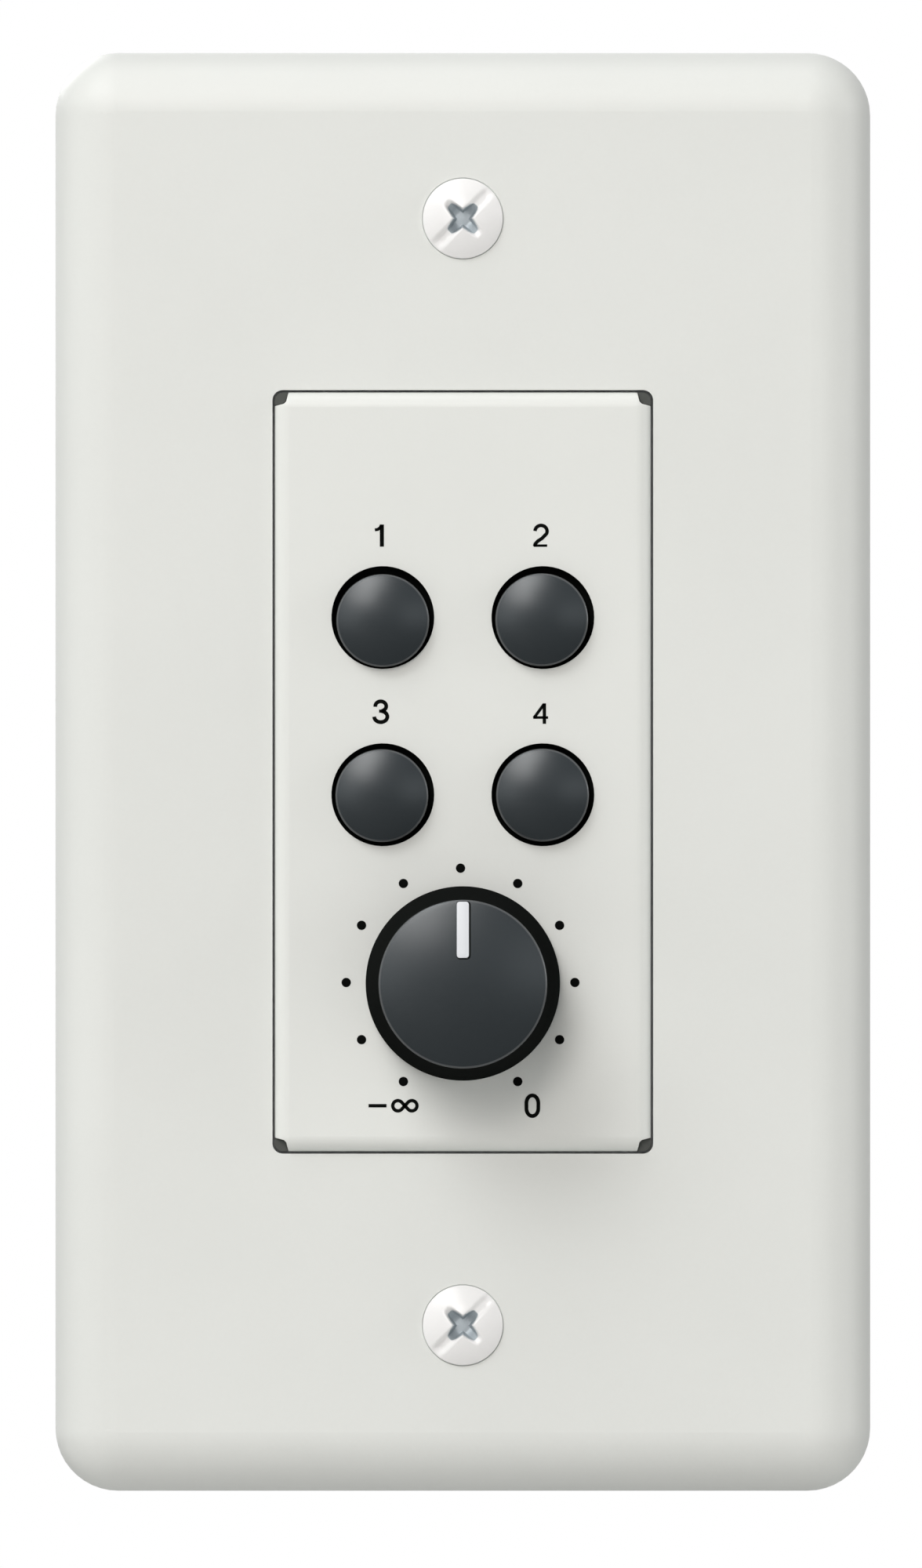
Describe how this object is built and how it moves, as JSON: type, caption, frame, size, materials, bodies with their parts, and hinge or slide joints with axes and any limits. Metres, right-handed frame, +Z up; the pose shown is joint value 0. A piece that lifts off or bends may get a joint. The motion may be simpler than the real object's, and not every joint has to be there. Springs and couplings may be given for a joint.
{
  "type": "wall control panel",
  "caption": "One-gang wall control panel: white plate and rectangular insert with numbered push buttons and a rotary volume knob, on a steel yoke with board and terminals.",
  "frame": {"origin": "middle of the panel on the wall surface, midway between the two wall box screw holes", "axes": "+Z up the wall, +X to the right seen from the front, +Y into the wall, front faces -Y"},
  "size_m": [0.0714, 0.0373, 0.126],
  "materials": {
    "plate_white": "satin moulded",
    "fascia_white": "satin moulded",
    "screw_white": "white paint",
    "frame_grey": "moulded",
    "zinc_steel": "zinc plated",
    "screw_zinc": "zinc plated",
    "brass": "plain",
    "board_green": "solder mask",
    "resistor_tan": "lacquered",
    "switch_black": "moulded",
    "switch_steel": "pressed",
    "tinned_pin": "tinned",
    "button_black": "satin moulded",
    "knob_black": "satin moulded",
    "pointer_white": "inlaid",
    "spring_steel": "plain",
    "shaft_metal": "turned",
    "rotor_ivory": "moulded",
    "housing_metal": "die cast",
    "wafer_brown": "laminate",
    "carbon_track": "printed carbon",
    "nut_metal": "nickel plated",
    "terminal_green": "moulded"
  },
  "bodies": {
    "panel": {"wall_plate": "plate_white", "plate_screws": "screw_white", "fascia": "fascia_white", "insert_frame": "frame_grey", "mounting_yoke": "zinc_steel", "fascia_screws": "screw_zinc", "board_standoffs": "brass", "circuit_board": "board_green", "board_screws": "screw_zinc", "board_resistors": "resistor_tan", "switch_bases": "switch_black", "switch_covers": "switch_steel", "switch_pins": "tinned_pin", "pot_housing": "housing_metal", "pot_wafer": "wafer_brown", "pot_track": "carbon_track", "pot_terminals": "tinned_pin", "pot_washer": "zinc_steel", "pot_nut": "nut_metal", "terminal_block": "terminal_green", "terminal_screws": "screw_zinc", "terminal_clamps": "switch_steel", "terminal_pins": "tinned_pin", "switch_dome_1": "spring_steel", "switch_dome_2": "spring_steel", "switch_dome_3": "spring_steel", "switch_dome_4": "spring_steel"},
    "button_1": {"button_cap_1": "button_black", "switch_plunger_1": "switch_black"},
    "button_2": {"button_cap_2": "button_black", "switch_plunger_2": "switch_black"},
    "button_3": {"button_cap_3": "button_black", "switch_plunger_3": "switch_black"},
    "button_4": {"button_cap_4": "button_black", "switch_plunger_4": "switch_black"},
    "volume": {"volume_knob": "knob_black", "knob_pointer": "pointer_white", "knob_clip": "spring_steel", "pot_shaft": "shaft_metal", "pot_rotor": "rotor_ivory", "pot_wiper": "brass"}
  },
  "joints": [
    {"name": "button_1_press", "type": "slide", "parent": "panel", "child": "button_1", "axis": [0, 1, 0], "range_m": [0, 0.0005], "stiffness_N_per_m": 400, "deforming": ["switch_dome_1"]},
    {"name": "button_2_press", "type": "slide", "parent": "panel", "child": "button_2", "axis": [0, 1, 0], "range_m": [0, 0.0005], "stiffness_N_per_m": 400, "deforming": ["switch_dome_2"]},
    {"name": "button_3_press", "type": "slide", "parent": "panel", "child": "button_3", "axis": [0, 1, 0], "range_m": [0, 0.0005], "stiffness_N_per_m": 400, "deforming": ["switch_dome_3"]},
    {"name": "button_4_press", "type": "slide", "parent": "panel", "child": "button_4", "axis": [0, 1, 0], "range_m": [0, 0.0005], "stiffness_N_per_m": 400, "deforming": ["switch_dome_4"]},
    {"name": "volume_turn", "type": "hinge", "parent": "panel", "child": "volume", "pos_m": [0, 0, -0.0185], "axis": [0, 1, 0], "range_deg": [-150, 150]}
  ]
}
